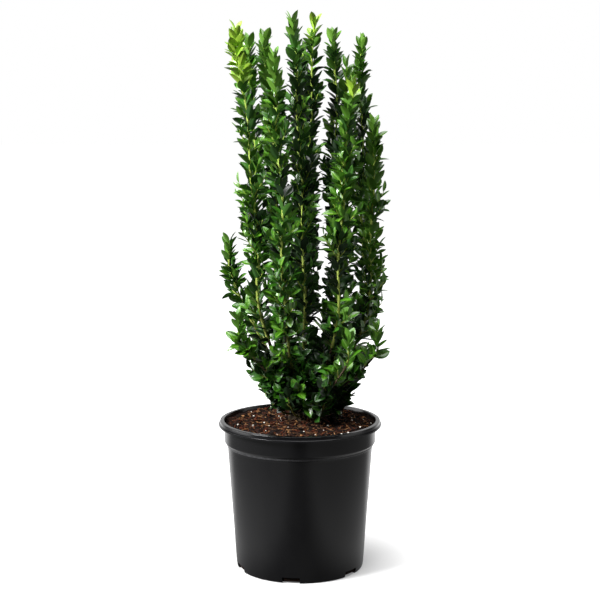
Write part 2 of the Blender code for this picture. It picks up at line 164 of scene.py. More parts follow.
SWAY_LENGTH = 0.160
SWAY_GROWS_OVER = 0.1
TIP_PAIR_HEIGHT = 0.020
TALL_SHOOTS = (
    ("left_front", (-0.057, -0.030), (-0.084, -0.026, 0.745)),
    ("left_back", (-0.058, 0.028), (-0.070, 0.022, 0.730)),
    ("front_left", (-0.022, -0.066), (-0.035, -0.060, 0.711)),
    ("inner_left", (-0.028, -0.003), (-0.047, 0.004, 0.736)),
    ("back_left", (-0.034, 0.060), (-0.046, 0.064, 0.706)),
    ("front", (0.005, -0.034), (-0.009, -0.040, 0.756)),
    ("centre", (0.008, 0.009), (0.020, 0.005, 0.762)),
    ("back", (0.002, 0.052), (0.005, 0.048, 0.724)),
    ("front_right", (0.052, -0.058), (0.068, -0.050, 0.674)),
    ("right_centre", (0.055, -0.012), (0.064, -0.014, 0.700)),
    ("back_right", (0.052, 0.038), (0.047, 0.038, 0.740)),
    ("right", (0.096, -0.014), (0.100, -0.006, 0.624)),
    ("right_back", (0.086, 0.028), (0.082, 0.014, 0.728)),
    ("far_back", (0.006, 0.086), (0.012, 0.092, 0.690)),
    ("far_back_right", (0.058, 0.076), (0.066, 0.082, 0.662)),
)
TALL_BOUGH_END_Z = 0.258
LOW_SHOOTS = (
    ("low_left", (-0.080, -0.002), (-0.098, -0.004, 0.466)),
    ("low_left_front", (-0.064, -0.058), (-0.080, -0.062, 0.368)),
    ("low_front", (0.060, -0.086), (0.064, -0.092, 0.346)),
    ("low_right", (0.098, -0.044), (0.104, -0.046, 0.352)),
    ("low_back_right", (0.090, 0.060), (0.096, 0.064, 0.378)),
    ("low_back", (0.032, 0.098), (0.034, 0.104, 0.358)),
    ("low_back_left", (-0.062, 0.070), (-0.070, 0.078, 0.388)),
)
LOW_BOUGH_END_Z = 0.244
FOOT_SHOOTS = 7
FOOT_FIRST_BEARING = math.radians(-78.0)
FOOT_LEAF_Z = 0.2135
FOOT_TIP_Z = 0.2640
FOOT_REACH = 0.0580
FOOT_ROOT_GAP = 0.0011
TIP_ROOM = 0.024
REACH = 0.033
SOIL_CLEARANCE = 0.0010
BOX_CLEARANCE = 0.0002

# The fine growth at its real size: the steps between leaf pairs, and where a stem's pairs start and end
NODE_STEP = 0.0084
LOW_NODE_STEP = 0.0082
FOOT_NODE_STEP = 0.0062
TIP_NODE_STEP = 0.0046
TIP_CLOSES_OVER = 0.060
STEM_ENDS_BELOW_TOP = 0.0150
UNEVEN_STEPS = (0.88, 1.12)
FIRST_PAIR_LIFT = -0.008
FOOT_FIRST_PAIR_LIFT = 0.002
LAST_PAIR_ROOM = 0.002
STEM_RINGS = 40
GREEN_FROM_Z = (0.27, 0.34)
LOW_GREEN_FROM_Z = 0.300
GREEN_STEM_RADII = (0.0020, 0.0013)
WOODY_STEM_RADII = (0.0019, 0.0016)
LOW_STEM_SHARE = 0.72
TWIG_RADII = (0.0009, 0.0005)

# The leaves. A rise is in radians above the square to the stem, and it grows towards the sky and the tips
LEAF_LENGTH = 0.0224
LEAF_WIDTH_SHARES = (0.58, 0.50)
LEAF_WIDTH_HEIGHTS = (0.250, 0.440)
LEAF_THICKNESS = 0.0004
LEAF_BULGE = 0.16
LEAF_STALK = 0.0012
LEAF_ROOT_R = 0.0010
LEAF_FOLD = (0.18, 0.50)
LEAF_ARCH = (-0.02, 0.20)
LEAF_RISE_UNEVEN = 0.17
LEAF_ROLL = 0.38
LEAF_TURN = (-0.2, 0.2)
LEAF_WIDTH_UNEVEN = (0.88, 1.12)
PAIR_UNEVEN = 0.14
FOOT_PAIR_UNEVEN = 0.7
STEM_LEAF_SCALE = (0.86, 1.06)
STEM_LEAF_SCALE_OVER = 0.050
STEM_LEAF_UNEVEN = (0.86, 1.12)
STEM_LEAF_RISE = (0.15, 0.86)
STEM_LEAF_RISE_OVER = 0.26
NEAR_TIP = 0.050
NEAR_TIP_RISE = 0.26
LAST_PAIR = 0.009
LAST_PAIR_RISE = 0.18
LOW_SHOOT_RISE = 0.25
LOW_SHOOT_RISE_HEIGHTS = (0.42, 0.34)
LEAVES_IN_A_PIECE = 2300

# A leaf's age goes from 0 to 1 as it hardens, between these distances below a stem's tip, and it is no less
# than LOW_AGE on the low shoots. A twig's leaves have the first age at its root and the second at its tip
AGES_BELOW_TIP = (-0.0102, 0.0748)
LOW_AGE = 0.60
TWIG_AGES = (0.75, 0.50)

# The side twigs: the share of the axils that have one, and the twigs that fill the skirt round the foot
TWIG_SHARE = 0.46
TWIG_SHARE_UNEVEN = 0.28
TWIG_TUFT = 0.060
LOW_TWIG_SHARE = 0.16
LOW_TWIG_Z = 0.29
FOOT_TWIG_SHARE = 0.9
TWIG_BELOW_TIP = 0.026
FOOT_TWIG_BELOW_TIP = 0.004
TWIG_TURN = (-0.25, 0.25)
TWIG_LENGTHS = (0.012, 0.033)
TWIG_FULL_BELOW_TIP = 0.13
TWIG_LENGTH_LEAST = 0.36
LOW_TWIG_HEIGHTS = (0.46, 0.30)
LOW_TWIG_STRETCH = 1.20
TWIG_RISES = (0.62, 1.05)
LOW_TWIG_DROOP = 0.25
FOOT_TWIG_DROOP = 0.30
NEAR_TIP_TWIG = 0.12
NEAR_TIP_TWIG_RISE = 0.45
TWIG_BEND = 0.22
TWIG_NODE_STEP = 0.0062
TWIG_PAIRS = (2, 6)
TWIG_LEAF_SCALE = (0.90, 0.70)
TWIG_LEAF_UNEVEN = (0.82, 1.12)
LOW_TWIG_LEAF_SCALE = 1.24
LOW_TWIG_LEAF_HEIGHTS = (0.24, 0.38)
TWIG_LEAF_RISE = (0.55, 1.05)
TWIG_LEAVES_LEAST = 3
SKIRT_TWIGS = 6
SKIRT_TWIG_Z = (0.229, 0.295)
SKIRT_TWIG_TURN = 0.8
SKIRT_TWIG_LENGTHS = (0.020, 0.046)
SKIRT_TWIG_RISES = (-0.50, 0.60)

# The room for leaves and twigs: a little past the space of their own stem, or inside the skirt
CELL_OVERLAP = 0.009
SKIRT_TOP_Z = 0.300
SKIRT_RADII = (0.047, 0.100)
SKIRT_STEM_R = 0.016
SKIRT_UNEVEN = 0.0055
SKIRT_TUFT = 0.050
RIPPLE_WAVES = 14

# The floor, and the camera as fitted to the photograph's view of the pot
FLOOR_BELOW_POT = 0.0002
CAMERA_LENS_MM = 81.04
CAMERA_PLACE = (0.0, -1.8333, 0.6189)
CAMERA_TILT = math.radians(7.654)

# How many leaf pairs share a tint, and the shoots whose tips are all new growth above a height
SPRAY_NODES = 4
NEW_TIPS = (("left_front", 0.660), ("centre", 0.725), ("front_right", 0.640))
# A spray's mood runs from young to old and from light to dark: it is the leaves' age and a chance part, with
# this mean and spread, plus painted shade and light by its place, and it takes the next darker tint at each
# of these steps
MOOD_CHANCE = (-0.22, 0.29)
MOOD_STEPS = (0.22, 0.46, 0.70, 0.92)


def eased(share):
    """0 to 1 as share goes from 0 to 1, level at both ends."""
    return 0.5 - 0.5 * np.cos(math.pi * np.clip(share, 0.0, 1.0))


def between(low, high, share):
    return low + (high - low) * share


def passed(value, first, last):
    """0 to 1 as value goes from first to last, and level beyond them."""
    return np.clip((value - first) / (last - first), 0.0, 1.0)


def unit(vectors):
    """Vectors along the last axis, each at length 1."""
    return vectors / np.linalg.norm(vectors, axis=-1, keepdims=True)


def swung(a, b, angle):
    """Two coordinates, turned by an angle from a towards b."""
    return a * np.cos(angle) - b * np.sin(angle), a * np.sin(angle) + b * np.cos(angle)


def ripple(points, size, seed, octaves=3):
    """Smooth noise of about -1 to 1: a sum of sine waves in seeded directions. The longest are size metres
    long, and each octave is half as long and a little over half as strong as the last."""
    rng = np.random.default_rng(seed)
    total = np.zeros(points.shape[:-1])
    for octave in range(octaves):
        aim = unit(rng.normal(size=(RIPPLE_WAVES, 3))) * math.tau / size * 2**octave
        aim = aim * rng.uniform(0.7, 1.3, (RIPPLE_WAVES, 1))
        phase = rng.uniform(0.0, math.tau, RIPPLE_WAVES)
        total += 0.55**octave * np.sin(points @ aim.T + phase).sum(axis=-1)
    return total / math.sqrt(RIPPLE_WAVES)


def linear(colour):
    """An sRGB hex value as linear red, green, blue and an alpha of 1."""
    shares = [int(colour[i : i + 2], 16) / 255 for i in (1, 3, 5)]
    return (*(c / 12.92 if c <= 0.04045 else ((c + 0.055) / 1.055) ** 2.4 for c in shares), 1.0)


def feed(tree, node, links):
    """Gives sockets of a node a value, or the output that feeds them. A node stands for its first output."""
    for name, value in links.items():
        if isinstance(value, bpy.types.Node):
            value = value.outputs[0]
        if isinstance(value, bpy.types.NodeSocket):
            tree.links.new(value, node.inputs[name])
        else:
            node.inputs[name].default_value = value


def add(tree, kind, links, stops=(), **settings):
    """Adds one shader node. settings are its properties, stops a ramp's places and colours, and links what
    feeds its sockets."""
    made = tree.nodes.new("ShaderNode" + kind)
    for name, value in settings.items():
        setattr(made, name, value)
    for number, (place, colour) in enumerate(stops):
        elements = made.color_ramp.elements
        element = elements[number] if number < 2 else elements.new(place)
        element.position = place
        element.color = linear(colour)
    feed(tree, made, links)
    return made


def finish(name, sockets):
    """A new material whose Principled shader has constant sockets set."""
    material = bpy.data.materials.new(name)
    material.use_nodes = True
    feed(material.node_tree, material.node_tree.nodes["Principled BSDF"], sockets)
    return material


def placed(name, data):
    """A new object in the scene."""
    obj = bpy.data.objects.new(name, data)
    scene.collection.objects.link(obj)
    return obj


def piece(name, shape, materials, nodes, kinds=None, sharp=40.0):
    """A closed mesh, dressed and on its body. shape is its points and a list of face arrays, kinds gives
    each face's material, and an edge that turns by more than sharp degrees stays crisp."""
    mesh = bpy.data.meshes.new(name)
    points, faces = shape
    points = np.asarray(points, np.float32).reshape(-1, 3)
    corners = np.concatenate([f.reshape(-1) for f in faces]).astype(np.int32)
    sizes = np.concatenate([np.full(len(f), f.shape[1], np.int32) for f in faces])
    mesh.vertices.add(len(points))
    mesh.vertices.foreach_set("co", points.reshape(-1))
    mesh.loops.add(len(corners))
    mesh.loops.foreach_set("vertex_index", corners)
    mesh.polygons.add(len(sizes))
    mesh.polygons.foreach_set("loop_start", (np.cumsum(sizes) - sizes).astype(np.int32))
    if kinds is not None:
        mesh.polygons.foreach_set("material_index", kinds.astype(np.int32))
    mesh.update(calc_edges=True)
    mesh.shade_smooth()
    mesh.set_sharp_from_angle(angle=math.radians(sharp))
    for material in materials:
        mesh.materials.append(material)
    obj = placed(name, mesh)
    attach(obj, "root")
    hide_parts(*nodes)
    return obj


def ring_faces(rings, around):
    """Faces of a closed shape whose points are rings of `around` points and then a point at each end:
    the four-cornered ones between rings, and the three-cornered ones round both ends."""
    spot = np.arange(around)
    edge = np.stack([spot, (spot + 1) % around], -1)
    sides = edge + np.arange(rings - 1)[:, None, None] * around
    sides = np.concatenate([sides, sides[..., ::-1] + around], -1).reshape(-1, 4)
    first = np.full((around, 1), rings * around)
    start = np.concatenate([first, edge[:, ::-1]], -1)
    end = np.concatenate([first + 1, edge + (rings - 1) * around], -1)
    return sides, np.concatenate([start, end])


def rings_of(r, z, steps):
    """Rings of points round +Z, one at each radius r and height z."""
    turn = math.tau * np.arange(steps) / steps
    r, z = r[:, None], z[:, None]
    return np.stack([r * np.cos(turn), r * np.sin(turn), z + 0 * turn], -1)


def closed(rings, first_z, last_z, middle=(0.0, 0.0)):
    """The points and faces of rings (rings, around, 3), closed by a point over the middle at each end."""
    ends = [(*middle, first_z), (*middle, last_z)]
    return np.concatenate([rings.reshape(-1, 3), ends]), ring_faces(*rings.shape[:2])


def copies_of(faces, count, stride):
    """The faces of one shape, repeated for count shapes of stride points each."""
    return [(f[None] + np.arange(count)[:, None, None] * stride).reshape(-1, f.shape[1]) for f in faces]


# The paths of the stems
tall, low, foot = len(TALL_SHOOTS), len(LOW_SHOOTS), FOOT_SHOOTS
foot_rows = [(f"foot_{number + 1}", (0.0, 0.0), (0.0, 0.0, FOOT_TIP_Z)) for number in range(foot)]
names, stand, tip = zip(*TALL_SHOOTS, *LOW_SHOOTS, *foot_rows)
stand, tip, top_z = np.array(stand), np.array(tip)[:, :2], np.array(tip)[:, 2]
count = tall + low + foot
is_low = np.arange(count) >= tall
is_foot = np.arange(count) >= tall + low
tip_z = top_z - TIP_PAIR_HEIGHT
leaf_z = np.where(is_foot, FOOT_LEAF_Z, np.where(is_low, LOW_BOUGH_END_Z, TALL_BOUGH_END_Z) + GAP)
start_z = np.where(is_foot, BASE_Z, BASE_TOP_Z)
power = np.where(is_low, LOW_FAN_POWER, FAN_POWER)
shoulder_z = np.minimum(SHOULDER_Z, tip_z - SHOULDER_BELOW_TIP)
seeds = (*range(SEED, SEED + tall), *range(LOW_SEED, LOW_SEED + low))
sways = [random.Random(seed) for seed in seeds]
phases = np.zeros((count, 2))
phases[: tall + low] = [[sway.uniform(0.0, math.tau) for _ in range(2)] for sway in sways]
bearings = FOOT_FIRST_BEARING + math.tau * (np.arange(count) - tall - low) / FOOT_SHOOTS


def base_radius(z, bearing):
    """The stem base: a flare with lobes that fades with the square of the height left, a waist, and a wider
    head whose edge turns in."""
    share = (z - BASE_Z) / (BASE_TOP_Z - BASE_Z)
    flare = np.maximum(0.0, 1.0 - share / BASE_FLARE_ENDS) ** 2
    head = eased((share - BASE_FLARE_ENDS) / (1.0 - BASE_FLARE_ENDS))
    edge = np.maximum(0.0, 5.0 * share - 4.0) ** 2
    flared = (BASE_FLARE_R - BASE_WAIST_R) + BASE_LOBE_DEPTH * np.cos(BASE_LOBES * bearing)
    return BASE_WAIST_R + flared * flare + (BASE_HEAD_R - BASE_WAIST_R) * head - BASE_HEAD_ROUND * edge


root_r = base_radius(FOOT_LEAF_Z, bearings) + FOOT_ROOT_GAP


def stem_at(who, z):
    """Points on the stems of shoots who at heights z. A fanned stem goes from the foot to its stand by
    1 - 0.79 (1 - rise)^power, then leans to its tip, and sways by sines of the height. A foot shoot goes out
    by the square root of its rise."""
    first_z = BASE_TOP_Z + BOUGH_RISE
    rise = passed(z, first_z, shoulder_z[who])
    out = 1.0 - (1.0 - BOUGH_ROOT_SHARE) * (1.0 - rise) ** power[who]
    above = np.maximum(tip_z[who] - SHOULDER_Z, 0.001)
    lean = np.where(
        is_low[who], rise**LOW_LEAN_POWER, np.clip((z - SHOULDER_Z) / above, 0.0, 1.0) ** LEAN_POWER
    )
    size = SWAY * passed(z, TALL_BOUGH_END_Z, TALL_BOUGH_END_Z + SWAY_GROWS_OVER)
    sway = size[..., None] * np.sin(math.tau * z[..., None] / SWAY_LENGTH + phases[who])
    fanned = FOOT + (stand[who] - FOOT) * out[..., None] + (tip[who] - stand[who]) * lean[..., None] + sway
    rise = passed(z, FOOT_LEAF_Z, tip_z[who])
    reach = root_r[who] + (FOOT_REACH - root_r[who]) * np.sqrt(rise)
    toward = np.stack([np.sin(bearings[who]), -np.cos(bearings[who])], -1)
    place = np.where(is_foot[who][..., None], FOOT + toward * reach[..., None], fanned)
    return np.concatenate([place, z[..., None]], -1)


def has_room(who, points):
    """True for points above the soil, within reach of their own stem, not much nearer to another stem than
    to their own, and inside the box of the solids. who has one number for each row of points."""
    z = points[..., 2]
    every = np.broadcast_to(np.arange(count), (*z.shape, count))
    stems = stem_at(every, np.broadcast_to(z[..., None], every.shape))
    away = np.linalg.norm((points[..., None, :] - stems)[..., :2], axis=-1)
    here = (z[..., None] >= start_z) & (z[..., None] <= tip_z + TIP_ROOM)
    mine = np.arange(count) == who[:, None, None]
    own = np.where(mine, away, 0.0).sum(-1)
    others = np.where(here & ~mine, away, 1.0).min(-1)
    low_box, high_box = (np.array(corner) for corner in cad_box)
    boxed = ((points > low_box + BOX_CLEARANCE) & (points < high_box - BOX_CLEARANCE)).all(-1)
    skirt_r = between(*SKIRT_RADII, passed(z, SOIL_Z, SKIRT_TOP_Z))
    skirt_r = skirt_r + SKIRT_UNEVEN * ripple(points, SKIRT_TUFT, seed=21, octaves=2)
    in_skirt = np.linalg.norm(points[..., :2] - FOOT, axis=-1) < skirt_r
    fine = np.where(
        z < SKIRT_TOP_Z, in_skirt | (own < SKIRT_STEM_R), (own < REACH) & (own < others + CELL_OVERLAP)
    )
    return (fine & boxed & (z > SOIL_Z + SOIL_CLEARANCE)).all(-1)


def tubes(points, radii, around, relief=None):
    """Closed tubes along paths, points (tubes, rings, 3) with radii (tubes, rings): each ring stands square
    to its path, and a point in the path closes each end. relief changes the radius at each place."""
    run = unit(np.gradient(points, axis=1))
    chord = points[:, -1] - points[:, 0]
    side = np.stack([-chord[:, 1], chord[:, 0], np.full(len(chord), 1e-6)], -1)
    side = np.where(np.linalg.norm(side, axis=-1, keepdims=True) > 0.002, side, [1.0, 0.0, 0.0])
    first = unit(side[:, None] - run * (side[:, None] * run).sum(-1, keepdims=True))
    second = np.cross(run, first)
    turn = math.tau * np.arange(around) / around
    spoke = first[:, :, None] * np.cos(turn)[:, None] + second[:, :, None] * np.sin(turn)[:, None]
    reach = radii[:, :, None] * np.ones(around)
    if relief is not None:
        reach = reach * (1.0 + relief(points[:, :, None] + spoke * reach[..., None]))
    rings = points[:, :, None] + spoke * reach[..., None]
    solid = np.concatenate([rings.reshape(len(points), -1, 3), points[:, :1], points[:, -1:]], 1)
    return solid.reshape(-1, 3), copies_of(ring_faces(points.shape[1], around), len(points), solid.shape[1])


# The leaf shape: rings across the blade from edge to edge on top, and back along the midrib below
BLADE_ROWS = np.array([0.05, 0.20, 0.42, 0.64, 0.84])
BLADE_ACROSS = np.array([-1.0, -0.55, -0.1, 0.1, 0.55, 1.0, 0.1, -0.1])
BLADE_TOP = np.array([0.0, 1.0, 1.0, 1.0, 1.0, 0.0, -1.0, -1.0])
BLADE_BASE_POWER = 0.80
BLADE_TIP_POWER = 0.86
UPPER, MIDRIB, UNDER = 0, 1, 2
BLADE_SIDES = (UPPER, UPPER, MIDRIB, UPPER, UPPER, UNDER, UNDER, UNDER)


def blade_width(t):
    """The outline: t^0.80 (1 - t)^0.86, as a share of its greatest value, which makes a pointed oval."""
    widest = BLADE_BASE_POWER / (BLADE_BASE_POWER + BLADE_TIP_POWER)
    return (t / widest) ** BLADE_BASE_POWER * ((1.0 - t) / (1.0 - widest)) ** BLADE_TIP_POWER


def leaves(root, along, up, length, width, fold, arch):
    """Closed leaves. Each is folded along its midrib by fold radians, arches down by the square of the way
    along it, and its halves bulge a little between midrib and edge."""
    across = np.cross(along, up)
    half = width[:, None, None] / 2 * blade_width(BLADE_ROWS)[:, None]
    side = half * BLADE_ACROSS * np.cos(fold)[:, None, None]
    rise = half * np.abs(BLADE_ACROSS) * np.sin(fold)[:, None, None]
    rise = rise + half * LEAF_BULGE * (1.0 - BLADE_ACROSS**2) * (np.abs(BLADE_ACROSS) > 0.3)
    rise = rise + BLADE_TOP * LEAF_THICKNESS / 2 - (arch * length)[:, None, None] * BLADE_ROWS[:, None] ** 2
    ahead = length[:, None, None] * BLADE_ROWS[:, None] * np.ones(len(BLADE_ACROSS))
    place = root[:, None, None] + along[:, None, None] * ahead[..., None]
    place = place + across[:, None, None] * side[..., None] + up[:, None, None] * rise[..., None]
    stalk = root - along * LEAF_STALK
    point = root + along * length[:, None] - up * (arch * length)[:, None]
    return np.concatenate([place.reshape(len(root), -1, 3), stalk[:, None], point[:, None]], 1)


def stem_heights(number):
    """Heights of the leaf pairs up one stem: even steps that close up towards the tip."""
    z = leaf_z[number] + (FOOT_FIRST_PAIR_LIFT if is_foot[number] else FIRST_PAIR_LIFT)
    end = top_z[number] - STEM_ENDS_BELOW_TOP
    step = FOOT_NODE_STEP if is_foot[number] else LOW_NODE_STEP if is_low[number] else NODE_STEP
    heights = []
    while z < end - LAST_PAIR_ROOM:
        heights.append(z)
        closing = min((end - z) / TIP_CLOSES_OVER, 1.0)
        z += between(TIP_NODE_STEP, step, closing) * draw.uniform(*UNEVEN_STEPS)
    return heights + [end]


def out_from(run, turn):
    """Directions square to each run of a stem, turned about it by turn."""
    first = unit(np.array([1.0, 0.0, 0.0]) - run * run[:, :1])
    return swung(np.cross(run, first), first, turn[:, None])[1]


# Leaf pairs up the main stems, each pair square to the last, and every few pairs a spray of one tint. They
# stand diagonal to the front, the back and the sides, so that the stem shows between them from each
stem_who, stem_z, stem_bearing, stem_spray = [], [], [], []
sprays = 0
for number in range(count):
    heights = stem_heights(number)
    turns = math.pi / 4 + math.pi / 2 * np.arange(len(heights))
    uneven = FOOT_PAIR_UNEVEN if is_foot[number] else PAIR_UNEVEN
    stem_who += [number] * len(heights)
    stem_z += heights
    stem_bearing += list(turns + draw.normal(0.0, uneven, len(heights)))
    stem_spray += list(sprays + np.arange(len(heights)) // SPRAY_NODES)
    sprays = stem_spray[-1] + 1
stem_who, stem_z, stem_bearing = (np.array(values) for values in (stem_who, stem_z, stem_bearing))
stem_place = stem_at(stem_who, stem_z)
stem_run = unit(stem_at(stem_who, stem_z + 0.003) - stem_at(stem_who, stem_z - 0.003))
below_tip = top_z[stem_who] - STEM_ENDS_BELOW_TOP - stem_z
stem_scale = between(*STEM_LEAF_SCALE, passed(below_tip, 0.0, STEM_LEAF_SCALE_OVER))
stem_scale *= draw.uniform(*STEM_LEAF_UNEVEN, len(stem_z))
stem_rise = between(*STEM_LEAF_RISE, passed(stem_z, SOIL_Z, SOIL_Z + STEM_LEAF_RISE_OVER))
stem_rise += NEAR_TIP_RISE * passed(below_tip, NEAR_TIP, 0.0)
stem_rise += LAST_PAIR_RISE * passed(below_tip, LAST_PAIR, 0.0)
stem_rise += LOW_SHOOT_RISE * is_low[stem_who] * passed(stem_z, *LOW_SHOOT_RISE_HEIGHTS)

# Side twigs: in the axils of the leaves, and thick round the foot, where they spread from the boughs
axil = np.repeat(np.arange(len(stem_z)), 2)
side = np.tile([0.0, math.pi], len(stem_z))
share = TWIG_SHARE + TWIG_SHARE_UNEVEN * ripple(stem_place[axil], TWIG_TUFT, seed=11, octaves=1)
share += LOW_TWIG_SHARE * (stem_place[axil, 2] < LOW_TWIG_Z)
on_foot = is_foot[stem_who[axil]]
share = np.where(on_foot, FOOT_TWIG_SHARE, share)
rooted = draw.random(len(axil)) < share
rooted &= below_tip[axil] > np.where(on_foot, FOOT_TWIG_BELOW_TIP, TWIG_BELOW_TIP)
axil, side, on_foot = axil[rooted], side[rooted], on_foot[rooted]
outward = out_from(stem_run[axil], stem_bearing[axil] + side + draw.uniform(*TWIG_TURN, len(axil)))
low_down = passed(stem_z[axil], *LOW_TWIG_HEIGHTS)
twig_length = draw.uniform(*TWIG_LENGTHS, len(axil)) * between(1.0, LOW_TWIG_STRETCH, low_down)
twig_length *= np.clip(below_tip[axil] / TWIG_FULL_BELOW_TIP, TWIG_LENGTH_LEAST, 1.0)
twig_rise = draw.uniform(*TWIG_RISES, len(axil)) - LOW_TWIG_DROOP * low_down
twig_rise += NEAR_TIP_TWIG_RISE * passed(below_tip[axil], NEAR_TIP_TWIG, 0.0) - FOOT_TWIG_DROOP * on_foot
twig_aim = swung(stem_run[axil], outward, twig_rise[:, None])[1]
twig_who, twig_root = stem_who[axil], stem_place[axil]

skirt_who = np.repeat(np.arange(tall + low), SKIRT_TWIGS)
skirt_z = draw.uniform(*SKIRT_TWIG_Z, len(skirt_who))
skirt_root = stem_at(skirt_who, skirt_z)
away = skirt_root[:, :2] - FOOT
turn = np.arctan2(away[:, 1], away[:, 0]) + draw.normal(0.0, SKIRT_TWIG_TURN, len(away))
skirt_rise = draw.uniform(*SKIRT_TWIG_RISES, len(away))
level = np.cos(skirt_rise)
skirt_aim = np.stack([np.cos(turn) * level, np.sin(turn) * level, np.sin(skirt_rise)], -1)
skirt_length = draw.uniform(*SKIRT_TWIG_LENGTHS, len(away))
twig_who, twig_root, twig_aim, twig_length = map(
    np.concatenate,
    ((twig_who, skirt_who), (twig_root, skirt_root), (twig_aim, skirt_aim), (twig_length, skirt_length)),
)


def twig_at(which, share):
    """Points on twigs: straight out along the twig's aim, bending up by the square of the way along."""
    ahead = twig_length[which] * share
    bent = np.stack([0.0 * ahead, 0.0 * ahead, TWIG_BEND * ahead * share], -1)
    return twig_root[which] + twig_aim[which] * ahead[..., None] + bent


ends = np.broadcast_to([0.6, 1.0, 1.3], (len(twig_root), 3))
kept = has_room(twig_who, twig_at(np.arange(len(twig_root))[:, None], ends))
twig_who, twig_root, twig_length, twig_aim = (a[kept] for a in (twig_who, twig_root, twig_length, twig_aim))
pairs = np.clip(np.round(twig_length / TWIG_NODE_STEP), *TWIG_PAIRS).astype(int)
on_twig = np.repeat(np.arange(len(pairs)), pairs)
order = np.concatenate([np.arange(1, n + 1) for n in pairs])
share = order / pairs[on_twig]
twig_place = twig_at(on_twig, share)
twig_run = unit(twig_at(on_twig, share + 0.02) - twig_at(on_twig, share - 0.02))
twig_bearing = draw.uniform(0.0, math.tau, len(pairs))[on_twig] + order * math.pi / 2
twig_scale = between(*TWIG_LEAF_SCALE, share) * draw.uniform(*TWIG_LEAF_UNEVEN, len(share))
twig_scale *= between(LOW_TWIG_LEAF_SCALE, 1.0, passed(twig_place[:, 2], *LOW_TWIG_LEAF_HEIGHTS))
twig_pair_rise = between(*TWIG_LEAF_RISE, share)

# Every pair as two leaves
stem_age = np.maximum(passed(below_tip, *AGES_BELOW_TIP), np.where(stem_who < tall, 0.0, LOW_AGE))
who, place, run, bearing, scale, rise, age, spray = (
    np.repeat(np.concatenate(stem_and_twig), 2, axis=0)
    for stem_and_twig in (
        (stem_who, twig_who[on_twig]), (stem_place, twig_place), (stem_run, twig_run),
        (stem_bearing, twig_bearing), (stem_scale, twig_scale), (stem_rise, twig_pair_rise),
        (stem_age, between(*TWIG_AGES, share)), (stem_spray, sprays + on_twig),
    )
)
bearing = bearing + np.tile([0.0, math.pi], len(bearing) // 2) + draw.uniform(*LEAF_TURN, len(bearing))
rise = rise + draw.normal(0.0, LEAF_RISE_UNEVEN, len(rise))
outward = out_from(run, bearing)
face_up, along = swung(run, outward, rise[:, None])
face_up += [0.0, 0.0, 0.25]
face_up = unit(face_up - along * (face_up * along).sum(-1, keepdims=True))
roll = draw.normal(0.0, LEAF_ROLL, len(rise))[:, None]
face_up = face_up * np.cos(roll) + np.cross(along, face_up) * np.sin(roll)
length = LEAF_LENGTH * scale
root = place + outward * LEAF_ROOT_R
fold = draw.uniform(*LEAF_FOLD, len(rise))
arch = draw.uniform(*LEAF_ARCH, len(rise))
width = length * between(*LEAF_WIDTH_SHARES, passed(place[:, 2], *LEAF_WIDTH_HEIGHTS))
width *= draw.uniform(*LEAF_WIDTH_UNEVEN, len(width))
blades = leaves(root, along, face_up, length, width, fold, arch)

# A leaf stays where both its widest corners and its point have room, and a twig where enough of its leaves do
around = len(BLADE_ACROSS)
corners = [2 * around, 2 * around + 5, len(BLADE_ROWS) * around + 1]
fits = has_room(who, blades[:, corners])
of_twig = np.repeat(np.concatenate([np.full(len(stem_z), -1), on_twig]), 2)
leafy = np.bincount(of_twig[fits & (of_twig >= 0)], minlength=len(pairs)) >= TWIG_LEAVES_LEAST
fits &= (of_twig < 0) | leafy[of_twig]
twig_length, twig_root, twig_aim = (a[leafy] for a in (twig_length, twig_root, twig_aim))

# Tints, dealt out by spray. Young growth is yellow-green, and old leaves are deep green
middle = np.stack([np.bincount(spray, v) / np.bincount(spray) for v in (*place.T, age)], -1)
whose = np.zeros(len(middle), int)
whose[spray] = who
height = middle[:, 2]
new_growth = np.zeros(len(middle), bool)
for name, lowest in NEW_TIPS:
    new_growth |= (whose == names.index(name)) & (height > lowest)
away = np.linalg.norm(middle[:, :2] - FOOT, axis=-1)
mood = middle[:, 3] + draw.normal(*MOOD_CHANCE, len(middle))
# Darker low down and at the foot, and lighter high up. Deep inside, below the tips, sprays are darker as
# painted shade, and on the outside they are lighter as painted light. The low shoot at the front takes one
# middling tint
mood += 0.22 * passed(height, 0.50, 0.25)
mood += 0.12 * (height < 0.25)
# Painted shade: sprays near the axis and below the tips take darker tints
mood += 0.42 * passed(away, 0.062, 0.0) * passed(height, 0.74, 0.68)
mood -= 0.08 * passed(height, 0.48, 0.54)
# Painted light: sprays on the outside of the crown take lighter tints
mood -= 0.20 * passed(away, 0.070, 0.095)
mood[(whose == names.index("low_front")) & (height > 0.300)] = 0.40
tint = np.where(new_growth, 0, np.digitize(mood, MOOD_STEPS) + 1)[spray]

# The darker tints also carry the painted shade deep in the crown, and the lighter ones the painted light
# outside
# name, upper side, midrib, underside
TINTS = (
    ("leaves_new", "#86b034", "#a8cc50", "#8fb232"),
    ("leaves_young", "#487c12", "#83ab3e", "#5d8b26"),
    ("leaves_early", "#3f740e", "#6d9434", "#4a781a"),
    ("leaves_summer", "#2c5f0c", "#507e28", "#366518"),
    ("leaves_deep", "#1a4207", "#3a6622", "#265011"),
    ("leaves_old", "#0d2805", "#24461a", "#13300c"),
)
foliage, boughs = (
    [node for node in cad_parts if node.startswith(kind)] for kind in ("foliage_", "bough_")
)
leaf_faces = ring_faces(len(BLADE_ROWS), around)
